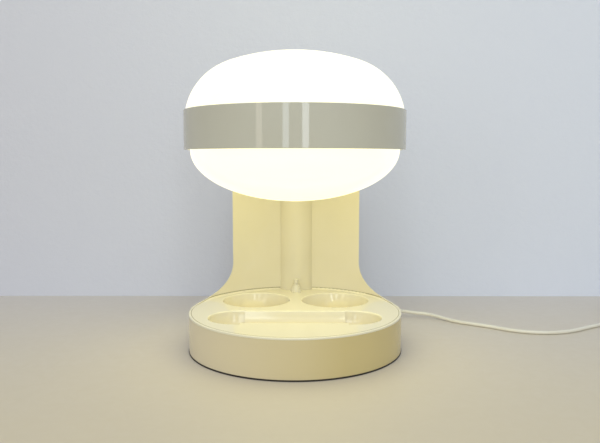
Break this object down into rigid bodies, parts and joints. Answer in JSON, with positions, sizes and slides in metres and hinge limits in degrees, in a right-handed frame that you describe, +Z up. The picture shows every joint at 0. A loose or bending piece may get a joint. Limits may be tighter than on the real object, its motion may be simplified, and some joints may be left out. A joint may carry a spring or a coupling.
{
  "type": "table lamp with tray base",
  "caption": "Moulded plastic table lamp: round tray base with bowls and a pen trough, curved back wall, and a wide lit head with a band and opal diffusers.",
  "frame": {"origin": "centre of the footprint, on the surface that the lamp stands on", "axes": "+Z up, -Y out of the front, where the tray is open, +X to the right seen from the front"},
  "size_m": [0.6187, 0.2848, 0.33],
  "materials": {
    "shell_plastic": "glossy cream moulding",
    "band_plastic": "smooth cream moulding",
    "diffuser": "smooth opal moulding",
    "switch_plastic": "glossy moulding",
    "cover_plastic": "matt sheet",
    "rubber": "matt",
    "steel": "plated, satin",
    "brass": "bare",
    "bakelite": "dark moulding",
    "porcelain": "white glaze",
    "bulb_glass": "frosted inside",
    "cap_metal": "drawn shell",
    "cord_plastic": "soft satin sheath",
    "plug_plastic": "smooth moulding",
    "lead_red": "thin sheath",
    "lead_blue": "thin sheath",
    "lead_brown": "thin sheath"
  },
  "bodies": {
    "lamp": {"base_shell": "shell_plastic", "tray": "shell_plastic", "column_cover": "shell_plastic", "bottom_cover": "cover_plastic", "rubber_feet": "rubber", "bottom_screws": "steel", "switch_body": "bakelite", "switch_tags": "brass", "switch_ring_nut": "switch_plastic", "button_spring": "steel", "head_band": "band_plastic", "band_screws": "steel", "lower_diffuser": "diffuser", "lampholder_bracket": "steel", "lampholder_nipple": "brass", "nipple_nut": "steel", "lampholder_cap": "bakelite", "lampholder_skirt": "bakelite", "lampholder_insert": "porcelain", "lamp_contacts": "brass", "terminal_block": "porcelain", "terminal_screws": "brass", "cord_clamp": "bakelite", "clamp_screws": "steel", "strain_relief": "cord_plastic", "cord_inner": "cord_plastic", "lead_live": "lead_brown", "lead_switched": "lead_red", "lead_neutral": "lead_blue", "cord_tube": "cord_plastic", "cord_coil": "cord_plastic", "cord_tail": "cord_plastic", "cord_tie": "cover_plastic", "plug_body": "plug_plastic", "plug_pins": "brass"},
    "button": {"push_button": "switch_plastic"},
    "upper_cover": {"upper_diffuser": "diffuser"},
    "bulb": {"bulb_glass": "bulb_glass", "bulb_cap": "cap_metal"}
  },
  "joints": [
    {"name": "button_press", "type": "slide", "parent": "lamp", "child": "button", "axis": [0, 0, -1], "range_m": [0, 0.002], "stiffness_N_per_m": 400, "springref_m": -0.001, "deforming": ["button_spring"]},
    {"name": "upper_diffuser_lift", "type": "slide", "parent": "lamp", "child": "upper_cover", "axis": [0, 0, 1], "range_m": [0, 0.12]},
    {"name": "bulb_withdraw", "type": "slide", "parent": "lamp", "child": "bulb", "axis": [0, -1, 0], "range_m": [0, 0.03]}
  ]
}
